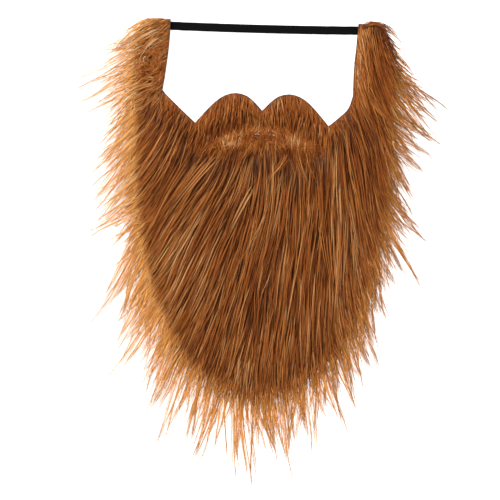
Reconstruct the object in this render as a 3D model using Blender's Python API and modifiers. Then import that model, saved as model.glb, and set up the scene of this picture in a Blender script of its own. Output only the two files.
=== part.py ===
"""Costume beard of long-pile fur cloth with a moustache, sideburns and a flat elastic band.

It lies on its back as it would on a table: +Z is up out of the fur, +Y points from the chin to the
sideburns, and the origin is on the underside of the base cloth, in the middle of the chin.
The base cloth is cut to the shape of a beard, with a mouth slit under the moustache. The fur is
four beds of pile on it, each with its locks fused to it: those on top lie in tiers, and those of
the fringe run out past the hem and down to the table. Lengths are in metres, angles in degrees.
"""

import math
import random

import bmesh
import bpy
from mathutils import Vector
from mathutils.geometry import delaunay_2d_cdt

# Base cloth
BEARD_WIDTH = 0.177
SIDEBURN_TOP = 0.1185
CHIN_HEM = 0.1365
FACE_GAP = 0.1275
SIDEBURN_TIP_WIDTH = 0.0165
CLOTH_THICKNESS = 0.0012

# Moustache and mouth
MOUSTACHE_WIDTH = 0.0906
NOTCH_HEIGHT = 0.0486
LOBE_RISE = 0.021
MOUTH_CORNER_HEIGHT = 0.0335
MOUTH_ARCH = 0.0095
MOUTH_WIDTH = 0.070
MOUTH_OPENING = 0.0072

# Elastic band, sewn flat under the tips of the sideburns
BAND_WIDTH = 0.0057
BAND_THICKNESS = 0.0009
BAND_DROP = 0.0042
BAND_TAB = 0.012
BAND_SLACK = 0.0008

# Fur
PILE_EDGE = 0.0034
PILE_DEPTH = 0.0125
HEM_SHOULDER = 0.026
FACE_SHOULDER = 0.013
PILE_INSET = 0.0005
LOCK_WIDTH = 0.0105
LOCK_THICKNESS = 0.0036
TIER_LOCK_LENGTH = 0.046
FRINGE_LENGTH = 0.062
FRINGE_LOCK_WIDTH = 0.0115
NARROWEST_LOCK = 0.45

# Fit and fineness
GAP = 0.0003
TABLE_GAP = 0.0002
CLOTH_GRID = 0.014
PILE_GRID = 0.0095
LIFT_RUN = 0.016
SEED = 11

# Edge of a moustache lobe, from the dip between the lobes to the notch beside it:
# across is a share of half the moustache, up is a share of the lobe's rise above the notch.
LOBE_EDGE = (
    {"across": 0.00, "up": 0.44},
    {"across": 0.11, "up": 0.70},
    {"across": 0.24, "up": 0.92},
    {"across": 0.40, "up": 1.00},
    {"across": 0.56, "up": 0.92},
    {"across": 0.71, "up": 0.70},
    {"across": 0.88, "up": 0.31},
    {"across": 1.00, "up": 0.00},
)

# Edge beside the face from a notch up to a sideburn's root, and on to its tip: across is a share of
# the way from the notch to half the face gap, up is a share of the way from the notch to the tip.
# The left sideburn is pinched at its root, which kinks its edge outwards, and the right one turns a
# round corner.
LEFT_CHEEK_EDGE = (
    {"across": 0.62, "up": 0.150},
    {"across": 1.24, "up": 0.305},
)
LEFT_SIDEBURN_EDGE = (
    {"across": 1.16, "up": 0.450},
    {"across": 1.07, "up": 0.650},
    {"across": 1.01, "up": 0.850},
)
RIGHT_CHEEK_EDGE = (
    {"across": 0.42, "up": 0.095},
    {"across": 0.72, "up": 0.180},
    {"across": 0.87, "up": 0.305},
)
RIGHT_SIDEBURN_EDGE = (
    {"across": 0.88, "up": 0.550},
    {"across": 0.95, "up": 0.800},
)

# Outer edge of the cloth, from a sideburn's tip to where its fur parts from the cheek's, and on
# round the hem: across is a share of half the beard's width, up is a share of the sideburn's height
# above the origin, or of the hem's depth below it.
SIDEBURN_OUTER_EDGE = (
    {"across": 0.975, "up": 0.83},
    {"across": 0.998, "up": 0.64},
    {"across": 1.000, "up": 0.42},
)
HEM_OUTER_EDGE = (
    {"across": 1.000, "up": 0.30},
    {"across": 0.996, "up": 0.16},
    {"across": 0.972, "up": -0.05},
    {"across": 0.917, "up": -0.24},
    {"across": 0.836, "up": -0.47},
    {"across": 0.710, "up": -0.66},
    {"across": 0.560, "up": -0.81},
    {"across": 0.345, "up": -0.92},
    {"across": 0.130, "up": -0.98},
)

# Combing of the fur: the way a hair lies, in degrees from straight down the beard, plus towards +X,
# at five places across each level. Level is as up is in the outer edge's table.
COMBING = (
    {"level": 1.00, "left": -62, "mid_left": -48, "middle": 0, "mid_right": 6, "right": 34},
    {"level": 0.75, "left": -60, "mid_left": -40, "middle": 0, "mid_right": 10, "right": 52},
    {"level": 0.50, "left": -45, "mid_left": -14, "middle": 0, "mid_right": 8, "right": 48},
    {"level": 0.20, "left": -48, "mid_left": -20, "middle": 0, "mid_right": 3, "right": 32},
    {"level": -0.20, "left": -44, "mid_left": -24, "middle": -4, "mid_right": 0, "right": 36},
    {"level": -0.55, "left": -36, "mid_left": -22, "middle": -6, "mid_right": 0, "right": 14},
    {"level": -0.85, "left": -34, "mid_left": -18, "middle": -4, "mid_right": 6, "right": 24},
    {"level": -1.00, "left": -24, "mid_left": -10, "middle": -1, "mid_right": 8, "right": 20},
)

# Locks of the fringe, from the left sideburn round the chin to the right one: along is a share of
# the outer edge's length, lie is in degrees as in the combing, reach is a share of the fringe's
# length past the hem, and sweep is how much further the lock turns towards +X by its tip.
FRINGE = (
    {"along": 0.020, "lie": -55, "reach": 0.42, "sweep": -10},
    {"along": 0.042, "lie": -50, "reach": 0.86, "sweep": -22},
    {"along": 0.064, "lie": -54, "reach": 0.66, "sweep": -10},
    {"along": 0.084, "lie": -50, "reach": 0.58, "sweep": -4},
    {"along": 0.104, "lie": -44, "reach": 0.52, "sweep": 0},
    {"along": 0.122, "lie": -42, "reach": 0.58, "sweep": -4},
    {"along": 0.138, "lie": -44, "reach": 0.66, "sweep": 4},
    {"along": 0.157, "lie": -42, "reach": 0.66, "sweep": 6},
    {"along": 0.177, "lie": -46, "reach": 0.60, "sweep": 10},
    {"along": 0.198, "lie": -44, "reach": 0.66, "sweep": 4},
    {"along": 0.220, "lie": -58, "reach": 0.56, "sweep": -4},
    {"along": 0.240, "lie": -50, "reach": 0.36, "sweep": 8},
    {"along": 0.262, "lie": -22, "reach": 0.92, "sweep": -12},
    {"along": 0.288, "lie": -26, "reach": 0.62, "sweep": 0},
    {"along": 0.314, "lie": -26, "reach": 0.72, "sweep": -6},
    {"along": 0.340, "lie": -26, "reach": 0.84, "sweep": -10},
    {"along": 0.366, "lie": -24, "reach": 0.66, "sweep": 0},
    {"along": 0.390, "lie": -24, "reach": 0.78, "sweep": -2},
    {"along": 0.414, "lie": -22, "reach": 0.88, "sweep": -2},
    {"along": 0.436, "lie": -13, "reach": 0.80, "sweep": -4},
    {"along": 0.456, "lie": -10, "reach": 0.90, "sweep": -8},
    {"along": 0.474, "lie": -2, "reach": 0.94, "sweep": 6},
    {"along": 0.492, "lie": -1, "reach": 1.00, "sweep": 12},
    {"along": 0.510, "lie": 0, "reach": 0.70, "sweep": 6},
    {"along": 0.528, "lie": 2, "reach": 0.92, "sweep": 6},
    {"along": 0.548, "lie": 4, "reach": 0.70, "sweep": 8},
    {"along": 0.568, "lie": 6, "reach": 0.86, "sweep": 0},
    {"along": 0.590, "lie": 10, "reach": 0.72, "sweep": 8},
    {"along": 0.612, "lie": 16, "reach": 0.66, "sweep": 8},
    {"along": 0.636, "lie": 14, "reach": 0.62, "sweep": 8},
    {"along": 0.662, "lie": 8, "reach": 0.70, "sweep": 14},
    {"along": 0.690, "lie": 6, "reach": 0.62, "sweep": 8},
    {"along": 0.720, "lie": 8, "reach": 0.56, "sweep": 6},
    {"along": 0.748, "lie": 16, "reach": 0.52, "sweep": 8},
    {"along": 0.776, "lie": 26, "reach": 0.88, "sweep": 10},
    {"along": 0.800, "lie": 34, "reach": 0.64, "sweep": 22},
    {"along": 0.824, "lie": 26, "reach": 0.46, "sweep": 6},
    {"along": 0.846, "lie": 28, "reach": 0.50, "sweep": 2},
    {"along": 0.862, "lie": 42, "reach": 0.46, "sweep": -6},
    {"along": 0.880, "lie": 48, "reach": 0.50, "sweep": -2},
    {"along": 0.898, "lie": 50, "reach": 0.58, "sweep": 0},
    {"along": 0.918, "lie": 46, "reach": 0.66, "sweep": 4},
    {"along": 0.938, "lie": 42, "reach": 0.70, "sweep": 12},
    {"along": 0.958, "lie": 38, "reach": 0.84, "sweep": 20},
    {"along": 0.980, "lie": 32, "reach": 0.42, "sweep": 10},
)

# Tiers of locks on top of each bed: level is as in the combing, and from and to bound the locks'
# roots as shares of half the beard's width.
TIERS = (
    {"bed": "beard_fur", "level": 0.20, "from": -0.92, "to": 0.92, "locks": 9, "length": 0.9},
    {"bed": "beard_fur", "level": -0.08, "from": -0.82, "to": 0.84, "locks": 8, "length": 1.0},
    {"bed": "beard_fur", "level": -0.34, "from": -0.74, "to": 0.76, "locks": 7, "length": 1.0},
    {"bed": "beard_fur", "level": -0.58, "from": -0.56, "to": 0.60, "locks": 6, "length": 0.9},
    {"bed": "beard_fur", "level": -0.78, "from": -0.34, "to": 0.40, "locks": 4, "length": 0.8},
    {"bed": "moustache_fur", "level": 0.545, "from": -0.36, "to": 0.36, "locks": 8, "length": 0.30},
    {"bed": "left_sideburn_fur", "level": 0.90, "from": -0.90, "to": -0.79, "locks": 2, "length": 0.5},
    {"bed": "left_sideburn_fur", "level": 0.72, "from": -0.94, "to": -0.82, "locks": 2, "length": 0.4},
    {"bed": "right_sideburn_fur", "level": 0.90, "from": 0.79, "to": 0.90, "locks": 2, "length": 0.5},
    {"bed": "right_sideburn_fur", "level": 0.72, "from": 0.80, "to": 0.94, "locks": 2, "length": 0.4},
)

HALF_WIDTH = BEARD_WIDTH / 2
HALF_GAP = FACE_GAP / 2
NOTCH_X = MOUSTACHE_WIDTH / 2
BAND_HEIGHT = SIDEBURN_TOP - BAND_DROP
BAND_LIFT = BAND_THICKNESS + GAP
BED_SEAT = CLOTH_THICKNESS + GAP


def clear_scene():
    for obj in list(bpy.data.objects):
        bpy.data.objects.remove(obj)


def collection(name):
    made = bpy.data.collections.new(name)
    bpy.context.scene.collection.children.link(made)
    return made


def material(name, colour, roughness, metallic=0.0):
    made = bpy.data.materials.new(name)
    made.use_nodes = True
    shader = made.node_tree.nodes["Principled BSDF"]
    shader.inputs["Base Color"].default_value = (*colour, 1.0)
    shader.inputs["Roughness"].default_value = roughness
    shader.inputs["Metallic"].default_value = metallic
    return made


def place_object(name, mesh, finish, home):
    obj = bpy.data.objects.new(name, mesh)
    if finish:
        mesh.materials.append(finish)
    home.objects.link(obj)
    return obj


# Outline of the base cloth


def height_of(level):
    """Y of a level: a share of the sideburn's height above the origin, or of the hem's depth below."""
    return level * (SIDEBURN_TOP if level > 0 else CHIN_HEM)


def smooth_through(points, steps):
    """Points on a smooth open curve through the given ones, with steps to each stretch."""
    curve = []
    for i in range(len(points) - 1):
        before = points[max(i - 1, 0)]
        start, end = points[i], points[i + 1]
        after = points[min(i + 2, len(points) - 1)]
        for k in range(steps):
            t = k / steps
            curve.append(
                0.5
                * (
                    2 * start
                    + (end - before) * t
                    + (2 * before - 5 * start + 4 * end - after) * t**2
                    + (3 * start - before - 3 * end + after) * t**3
                )
            )
    curve.append(points[-1])
    return curve


def lobe_edge(side):
    """Edge of a moustache lobe from the dip to its notch. Side is -1 for left and 1 for right."""
    rows = [
        Vector((side * NOTCH_X * row["across"], NOTCH_HEIGHT + LOBE_RISE * row["up"]))
        for row in LOBE_EDGE
    ]
    return smooth_through(rows, 2)


def inner_edge(side):
    """Edge beside the face from the notch to the sideburn's tip, and the index of the sideburn's root."""

    def places(table):
        return [
            Vector(
                (
                    side * (NOTCH_X + (HALF_GAP - NOTCH_X) * row["across"]),
                    NOTCH_HEIGHT + (SIDEBURN_TOP - NOTCH_HEIGHT) * row["up"],
                )
            )
            for row in table
        ]

    cheek = places(LEFT_CHEEK_EDGE if side < 0 else RIGHT_CHEEK_EDGE)
    sideburn = places(LEFT_SIDEBURN_EDGE if side < 0 else RIGHT_SIDEBURN_EDGE)
    notch = Vector((side * NOTCH_X, NOTCH_HEIGHT))
    tip = Vector((side * HALF_GAP, SIDEBURN_TOP))
    lower = smooth_through([notch, *cheek], 3)
    upper = smooth_through([cheek[-1], *sideburn, tip], 3)
    return lower + upper[1:], len(lower) - 1


def outer_edge(side):
    """Edge from the sideburn's tip round the cheek to the middle of the hem, and the parting's index."""
    tip = Vector((side * (HALF_GAP + SIDEBURN_TIP_WIDTH), SIDEBURN_TOP))
    hem = Vector((0.0, -CHIN_HEM))
    table = SIDEBURN_OUTER_EDGE + HEM_OUTER_EDGE
    rows = [Vector((side * HALF_WIDTH * row["across"], height_of(row["up"]))) for row in table]
    steps = 3
    return smooth_through([tip, *rows, hem], steps), len(SIDEBURN_OUTER_EDGE) * steps


def slit_edge(upper):
    """Upper or lower edge of the mouth slit, from its left corner to its right one."""
    turn = 1 if upper else -1
    steps = 14
    edge = []
    for k in range(steps + 1):
        across = -math.cos(math.pi * k / steps)
        open_by = MOUTH_OPENING / 2 * math.sqrt(max(0.0, 1 - across**2))
        y = MOUTH_CORNER_HEIGHT + MOUTH_ARCH * (1 - across**2) + turn * open_by
        edge.append(Vector((across * MOUTH_WIDTH / 2, y)))
    return edge


def cloth_outline():
    """The whole edge of the base cloth, anticlockwise from the dip between the lobes."""
    left_inner, _ = inner_edge(-1)
    right_inner, _ = inner_edge(1)
    left_outer, _ = outer_edge(-1)
    right_outer, _ = outer_edge(1)
    return [
        *lobe_edge(-1)[:-1],
        *left_inner,
        *left_outer,
        *right_outer[-2::-1],
        *right_inner[::-1],
        *lobe_edge(1)[-2:0:-1],
    ]


def bed_outlines():
    """The edge of each bed of fur on the cloth, by the name of its node."""
    outlines = {}
    beard = slit_edge(upper=False)
    moustache = [*lobe_edge(-1), *slit_edge(upper=True), *lobe_edge(1)[:0:-1]]
    sides = {}
    for side, word in ((-1, "left"), (1, "right")):
        inner, root = inner_edge(side)
        outer, parting = outer_edge(side)
        outlines[word + "_sideburn_fur"] = [*inner[root:], *outer[: parting + 1]]
        sides[side] = [*inner[: root + 1], *outer[parting:]]
    outlines["beard_fur"] = [*beard, *sides[1], *sides[-1][-2::-1]]
    outlines["moustache_fur"] = moustache
    return outlines


# Flat patterns


def signed_area(loop):
    return sum(a.cross(b) for a, b in zip(loop, loop[1:] + loop[:1])) / 2


def inset(loop, distance):
    """The loop drawn in by a distance, anticlockwise."""
    if signed_area(loop) < 0:
        loop = loop[::-1]
    drawn = []
    for i, point in enumerate(loop):
        into = (point - loop[i - 1]).normalized()
        out = (loop[(i + 1) % len(loop)] - point).normalized()
        normal = Vector((-(into + out).y, (into + out).x)).normalized()
        square = max(normal.dot(Vector((-into.y, into.x))), 0.5)
        drawn.append(point + normal * distance / square)
    return drawn


def distance_to(point, loop):
    """How far a point is from the nearest stretch of a closed loop."""
    nearest = math.inf
    for a, b in zip(loop, loop[1:] + loop[:1]):
        run = b - a
        share = max(0.0, min(1.0, (point - a).dot(run) / run.length_squared))
        nearest = min(nearest, (point - a - share * run).length)
    return nearest


def is_inside(point, loops):
    """True where a point is inside an odd number of the loops."""
    inside = False
    for loop in loops:
        for a, b in zip(loop, loop[1:] + loop[:1]):
            if (a.y > point.y) != (b.y > point.y):
                if point.x < a.x + (point.y - a.y) / (b.y - a.y) * (b.x - a.x):
                    inside = not inside
    return inside


def inner_points(loops, grid):
    """Points of a staggered grid inside the loops and clear of their edges."""
    everything = [point for loop in loops for point in loop]
    low_x, high_x = min(p.x for p in everything), max(p.x for p in everything)
    low_y, high_y = min(p.y for p in everything), max(p.y for p in everything)
    rows = math.ceil((high_y - low_y) / grid)
    columns = math.ceil((high_x - low_x) / grid)
    found = []
    for row in range(rows):
        for column in range(columns):
            point = Vector((low_x + (column + 0.5 * (row % 2)) * grid, low_y + (row + 0.5) * grid))
            clear = min(distance_to(point, loop) for loop in loops) > 0.45 * grid
            if clear and is_inside(point, loops):
                found.append(point)
    return found


def flat_pattern(loops, grid):
    """A bmesh of the flat shape inside the loops, in triangles with points inside it."""
    points, edges = [], []
    for loop in loops:
        first = len(points)
        points += loop
        edges += [(first + i, first + (i + 1) % len(loop)) for i in range(len(loop))]
    points += inner_points(loops, grid)
    placed, _, triangles, *_ = delaunay_2d_cdt(points, edges, [], 0, 1e-7)
    pattern = bmesh.new()
    corners = [pattern.verts.new((p.x, p.y, 0.0)) for p in placed]
    for triangle in triangles:
        middle = sum((placed[i] for i in triangle), Vector((0.0, 0.0))) / len(triangle)
        if is_inside(middle, loops):
            pattern.faces.new([corners[i] for i in triangle])
    loose = [v for v in pattern.verts if not v.link_faces]
    bmesh.ops.delete(pattern, geom=loose, context="VERTS")
    bmesh.ops.recalc_face_normals(pattern, faces=pattern.faces)
    if sum(face.normal.z for face in pattern.faces) < 0:
        bmesh.ops.reverse_faces(pattern, faces=pattern.faces)
    return pattern


def smooth_step(share):
    share = max(0.0, min(1.0, share))
    return share * share * (3 - 2 * share)


def lift_over_band(y):
    """How far the cloth rises off the table to pass over the band at the sideburns' tips."""
    band_edge = BAND_HEIGHT - BAND_WIDTH / 2 - BAND_THICKNESS
    return BAND_LIFT * smooth_step((y - band_edge + LIFT_RUN) / LIFT_RUN)


# Base cloth and band


def make_base_cloth(home, finish):
    """One layer of cloth with the mouth slit cut through it."""
    slit = slit_edge(upper=True) + slit_edge(upper=False)[-2:0:-1]
    pattern = flat_pattern([cloth_outline(), slit], CLOTH_GRID)
    for vert in pattern.verts:
        vert.co.z = lift_over_band(vert.co.y)
    mesh = bpy.data.meshes.new("base_cloth")
    pattern.to_mesh(mesh)
    pattern.free()
    cloth = place_object("base_cloth", mesh, finish, home)
    wall = cloth.modifiers.new("Cloth thickness", "SOLIDIFY")
    wall.thickness = CLOTH_THICKNESS
    wall.offset = 1.0
    return cloth


def make_band(home, finish):
    """Flat elastic from tip to tip with a slight sag towards the face, its ends under the cloth."""
    half = HALF_GAP + BAND_TAB
    steps = 12
    mesh = bpy.data.meshes.new("elastic_band")
    strip = bmesh.new()
    rows = []
    for k in range(steps + 1):
        x = -half + 2 * half * k / steps
        y = BAND_HEIGHT - BAND_SLACK * (1 - (x / half) ** 2)
        rows.append([strip.verts.new((x, y + side * BAND_WIDTH / 2, 0.0)) for side in (-1, 1)])
    for (a, b), (c, d) in zip(rows, rows[1:]):
        strip.faces.new((a, c, d, b))
    strip.to_mesh(mesh)
    strip.free()
    band = place_object("elastic_band", mesh, finish, home)
    wall = band.modifiers.new("Elastic thickness", "SOLIDIFY")
    wall.thickness = BAND_THICKNESS
    wall.offset = 1.0
    return band


# Fur


def half_width_at(y):
    """Half the cloth's width at a height, on the outer edge."""
    edge, _ = outer_edge(1)
    for upper, lower in zip(edge, edge[1:]):
        if lower.y <= y <= upper.y:
            share = (upper.y - y) / (upper.y - lower.y)
            return upper.x + share * (lower.x - upper.x)
    return edge[0].x if y > 0 else edge[-2].x


def combed(x, y):
    """The way the fur lies at a point, in degrees from straight down, plus towards +X."""
    level = y / (SIDEBURN_TOP if y > 0 else CHIN_HEM)
    across = max(-1.0, min(1.0, x / max(half_width_at(y), HALF_WIDTH / 6)))
    columns = ("left", "mid_left", "middle", "mid_right", "right")
    place = (across + 1) * 2
    column = min(int(place), 3)

    def at(row):
        start, end = row[columns[column]], row[columns[column + 1]]
        return start + (end - start) * (place - column)

    for upper, lower in zip(COMBING, COMBING[1:]):
        if level >= lower["level"]:
            share = min(1.0, (upper["level"] - level) / (upper["level"] - lower["level"]))
            return at(upper) + (at(lower) - at(upper)) * max(0.0, share)
    return at(COMBING[-1])


def distance_to_run(point, run):
    """How far a point is from the nearest stretch of an open run of edge."""
    return distance_to(point, run + run[-2:0:-1])


def pile_top(point, edges):
    """Height of the top of a bed of fur: low at the cloth's edges and swelling away from them."""
    if not is_inside(point, edges["cloth"]):
        return BED_SEAT + lift_over_band(point.y) + PILE_EDGE
    from_hem = distance_to_run(point, edges["hem"]) / HEM_SHOULDER
    from_face = min(distance_to_run(point, run) for run in edges["face"]) / FACE_SHOULDER
    swell = smooth_step(from_hem) * smooth_step(from_face)
    return BED_SEAT + lift_over_band(point.y) + PILE_EDGE + (PILE_DEPTH - PILE_EDGE) * swell


def make_bed(name, outline, edges, home, finish):
    """A bed of pile: the outline's flat pattern made solid, with a swelling top."""
    bed = flat_pattern([inset(outline, PILE_INSET)], PILE_GRID)
    grown = bmesh.ops.extrude_face_region(bed, geom=bed.faces[:])
    tops = {item for item in grown["geom"] if isinstance(item, bmesh.types.BMVert)}
    for vert in bed.verts:
        if vert in tops:
            vert.co.z = pile_top(vert.co.xy, edges)
        else:
            vert.co.z = BED_SEAT + lift_over_band(vert.co.y)
    bmesh.ops.recalc_face_normals(bed, faces=bed.faces)
    mesh = bpy.data.meshes.new(name)
    bed.to_mesh(mesh)
    bed.free()
    return place_object(name, mesh, finish, home)


def lock_taper(share):
    """How wide a lock is, as a share of its full width, at a share of its length."""
    return 0.72 + 0.56 * share if share < 0.5 else min(1.0, 2.0 * (1 - share) ** 0.85)


def add_lock(locks, path, width, thickness):
    """Adds a flattened, tapering lock along a path of points that ends in a single point."""
    sides = 6
    spans = len(path) - 1
    rings = []
    for i, centre in enumerate(path[:-1]):
        taper = lock_taper(i / spans)
        along = (path[i + 1] - path[max(i - 1, 0)]).normalized()
        across = along.cross(Vector((0.0, 0.0, 1.0))).normalized()
        over = across.cross(along)
        ring = []
        for k in range(sides):
            angle = 2 * math.pi * (k + 0.5) / sides
            offset = across * math.cos(angle) * width / 2 + over * math.sin(angle) * thickness / 2
            ring.append(locks.verts.new(centre + offset * taper))
        rings.append(ring)
    tip = locks.verts.new(path[-1])
    locks.faces.new(rings[0])
    for near, far in zip(rings, rings[1:]):
        for k in range(sides):
            following = (k + 1) % sides
            locks.faces.new((near[k], far[k], far[following], near[following]))
    for k in range(sides):
        locks.faces.new((rings[-1][k], tip, rings[-1][(k + 1) % sides]))


def lie_vector(lie):
    """Flat direction of a hair that lies so many degrees from straight down."""
    angle = math.radians(lie)
    return Vector((math.sin(angle), -math.cos(angle)))


def tier_path(root, length, edges):
    """A lock on top of a bed: it leaves the pile at its root and lies along it to its tip."""
    steps = 5
    place = root.copy()
    path = []
    for k in range(steps + 1):
        share = k / steps
        sink = 0.85 * (1 - share) ** 2 - 0.15
        lowest = BED_SEAT + lift_over_band(place.y) + 0.6 * LOCK_THICKNESS
        z = max(lowest, pile_top(place, edges) - sink * LOCK_THICKNESS)
        path.append(Vector((place.x, place.y, z)))
        place = place + lie_vector(combed(place.x, place.y)) * length / steps
    return path


def fringe_path(root, lie, sweep, buried, reach, height, thickness):
    """A lock of the fringe: it starts inside the bed, crosses the hem and comes down to the table."""
    steps = 5
    start = root - lie_vector(lie) * buried
    path = []
    place = start
    whole = buried + reach
    for k in range(steps + 1):
        share = k / steps
        past_hem = share * whole - buried - 0.5 * FRINGE_LOCK_WIDTH
        drop = smooth_step(past_hem / (0.8 * reach))
        lowest = TABLE_GAP + 0.5 * thickness * lock_taper(share)
        path.append(Vector((place.x, place.y, max(lowest, height * (1 - drop)))))
        place = place + lie_vector(lie + sweep * (share + 0.5 / steps)) * whole / steps
    return path


def edge_point(edge, share):
    """The point at a share of an open edge's length, measured from its start."""
    lengths = [(b - a).length for a, b in zip(edge, edge[1:])]
    left = share * sum(lengths)
    for (a, b), length in zip(zip(edge, edge[1:]), lengths):
        if left <= length:
            return a + (b - a) * left / length
        left -= length
    return edge[-1]


def between_rows(along):
    """Lie, reach and sweep of the fringe between two rows of its table, the same on each run."""
    for before, after in zip(FRINGE, FRINGE[1:]):
        if before["along"] <= along <= after["along"]:
            share = (along - before["along"]) / (after["along"] - before["along"])
            return {
                key: before[key] + (after[key] - before[key]) * share
                for key in ("lie", "reach", "sweep")
            }
    return None


def room_beside(path, others):
    """How wide a lock along this path can be and still keep off the other beds of fur."""
    nearest = math.inf
    for place in path:
        for other in others:
            if is_inside(place.xy, [other]):
                return 0.0
            nearest = min(nearest, distance_to(place.xy, other))
    return max(0.0, (nearest - GAP) * 1.8)


def fringe_locks(locks, outline, others, hem, rng):
    """The locks of the fringe whose roots lie on this bed's own stretch of the outer edge."""
    rows = [dict(row, share=1.0) for row in FRINGE]
    for before, after in zip(FRINGE, FRINGE[1:]):
        middle = (before["along"] + after["along"]) / 2
        if after["along"] - before["along"] < 0.03:
            rows.append(dict(between_rows(middle), along=middle, share=0.62))
    for row in rows:
        root = edge_point(hem, row["along"])
        if distance_to(root, outline) > 1e-6:
            continue
        width = FRINGE_LOCK_WIDTH * rng.uniform(0.85, 1.1)
        thickness = LOCK_THICKNESS * rng.uniform(0.85, 1.0)
        buried = LOCK_WIDTH * rng.uniform(0.9, 1.2)
        reach = FRINGE_LENGTH * row["reach"] * row["share"]
        height = BED_SEAT + lift_over_band(root.y) + 0.55 * thickness
        path = fringe_path(root, row["lie"], row["sweep"], buried, reach, height, thickness)
        width = min(width, room_beside(path, others))
        if width > NARROWEST_LOCK * FRINGE_LOCK_WIDTH:
            add_lock(locks, path, width, thickness)


def tier_locks(locks, name, outline, others, edges, rng):
    """The locks that lie on top of this bed in tiers, with their roots well inside it."""
    for tier in TIERS:
        if tier["bed"] != name:
            continue
        for k in range(tier["locks"]):
            share = k / (tier["locks"] - 1)
            across = tier["from"] + (tier["to"] - tier["from"]) * share
            level = tier["level"] + rng.uniform(-0.03, 0.03)
            root = Vector((across * HALF_WIDTH, height_of(level)))
            length = TIER_LOCK_LENGTH * tier["length"] * rng.uniform(0.85, 1.05)
            width = LOCK_WIDTH * rng.uniform(0.8, 1.1)
            if not is_inside(root, [outline]) or distance_to(root, outline) < 0.5 * width:
                continue
            for trim in (1.0, 0.75, 0.5):
                path = tier_path(root, trim * length, edges)
                room = room_beside(path, others)
                if room > NARROWEST_LOCK * width:
                    add_lock(locks, path, min(width, room), LOCK_THICKNESS)
                    break


def make_fur(name, outlines, hem, edges, home, cutters, finish, rng):
    """A bed of pile with its locks fused to it."""
    outline = outlines[name]
    others = [other for key, other in outlines.items() if key != name]
    fur = make_bed(name, outline, edges, home, finish)
    locks = bmesh.new()
    fringe_locks(locks, outline, others, hem, rng)
    tier_locks(locks, name, outline, others, edges, rng)
    bmesh.ops.recalc_face_normals(locks, faces=locks.faces)
    mesh = bpy.data.meshes.new(name + "_locks")
    locks.to_mesh(mesh)
    locks.free()
    tufts = place_object(name + "_locks", mesh, finish, cutters)
    tufts.hide_render = True
    tufts.display_type = "WIRE"
    fuse = fur.modifiers.new("Fuse locks", "BOOLEAN")
    fuse.operation = "UNION"
    fuse.solver = "EXACT"
    fuse.use_self = True
    fuse.object = tufts
    return fur


def main():
    clear_scene()
    home = collection("Costume beard")
    cutters = collection("Shapes fused or cut")
    cloth_finish = material("Brown knitted base cloth", (0.075, 0.035, 0.016), 0.95)
    band_finish = material("Black braided elastic", (0.006, 0.006, 0.007), 0.8)
    fur_finish = material("Ginger acrylic fur", (0.24, 0.085, 0.024), 0.55)
    make_base_cloth(home, cloth_finish)
    make_band(home, band_finish)
    left_outer, _ = outer_edge(-1)
    right_outer, _ = outer_edge(1)
    hem = left_outer + right_outer[-2::-1]
    upper_lip, lower_lip = slit_edge(upper=True), slit_edge(upper=False)
    face = [lobe_edge(side) + inner_edge(side)[0][1:] for side in (-1, 1)]
    edges = {
        "cloth": [cloth_outline(), upper_lip + lower_lip[-2:0:-1]],
        "face": [*face, upper_lip, lower_lip],
        "hem": hem,
    }
    rng = random.Random(SEED)
    outlines = bed_outlines()
    for name in outlines:
        make_fur(name, outlines, hem, edges, home, cutters, fur_finish, rng)


main()
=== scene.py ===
"""Looks of the costume beard: its combed acrylic pile, knitted base cloth and braided elastic.

The beard lies on its back on a white table and is seen from straight above. Every hair starts in the
base cloth, is combed along a field of directions, and is gathered with its neighbours into a lock.
Their centre lines are worked out here, and Geometry Nodes turn them into tapering tubes.
Lengths are in metres and angles in degrees; a hair's lie is measured from straight down the beard,
plus towards +X.
"""

import math

import bmesh
import bpy
import numpy as np
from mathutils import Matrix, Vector
from mathutils.geometry import delaunay_2d_cdt


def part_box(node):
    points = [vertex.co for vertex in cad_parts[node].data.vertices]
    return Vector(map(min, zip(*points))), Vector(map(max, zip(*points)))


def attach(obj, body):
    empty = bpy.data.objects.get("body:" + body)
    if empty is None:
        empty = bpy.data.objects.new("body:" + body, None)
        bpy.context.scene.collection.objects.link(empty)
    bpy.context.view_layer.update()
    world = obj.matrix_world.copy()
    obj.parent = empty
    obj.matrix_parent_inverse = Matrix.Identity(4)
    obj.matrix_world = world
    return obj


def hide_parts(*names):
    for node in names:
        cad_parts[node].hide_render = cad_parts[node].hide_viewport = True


MM = 0.001


def rows_of(columns, *rows):
    """A table's rows as dictionaries, from the names of its columns and each row's values."""
    return tuple(dict(zip(columns.split(), row)) for row in rows)


# Camera and photograph
PHOTO_PIXELS = 500
PIXEL = 0.68 * MM
PHOTO_TURN = 1.5
ORIGIN_PIXEL = (260, 196)
CAMERA_LENS = 135
SENSOR_WIDTH = 36

# Table and light, in metres and watts
TABLE_SIZE = 3.0
TABLE_GLOW = 0.7
ROOM_BRIGHTNESS = 0.75
LIGHTS = rows_of(
    "name place size power",
    ("key", (-0.7, 0.75, 1.2), 0.45, 17),
    ("fill", (1.0, -0.3, 1.3), 1.2, 8),
)

# Body of the pile: its height at the edges and in the middle, how far in it takes to get there, how
# low it falls past the hem and how far out, and the dense pile at its roots.
PILE_SEAT = 1.5 * MM
PILE_EDGE = 3.4 * MM
PILE_DEPTH = 12.0 * MM
HEM_SHOULDER = 26 * MM
FACE_SHOULDER = 11 * MM
FRINGE_LIFT = 1.6 * MM
FRINGE_FALL = 24 * MM
UNDER_PILE_SHARE = 0.5
UNDER_PILE_INSET = 0.3 * MM
UNDER_PILE_GRID = 3.0 * MM
SLIT_GAP_SHARE = 0.12
TABLE_CLEARANCE = 0.35 * MM

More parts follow.
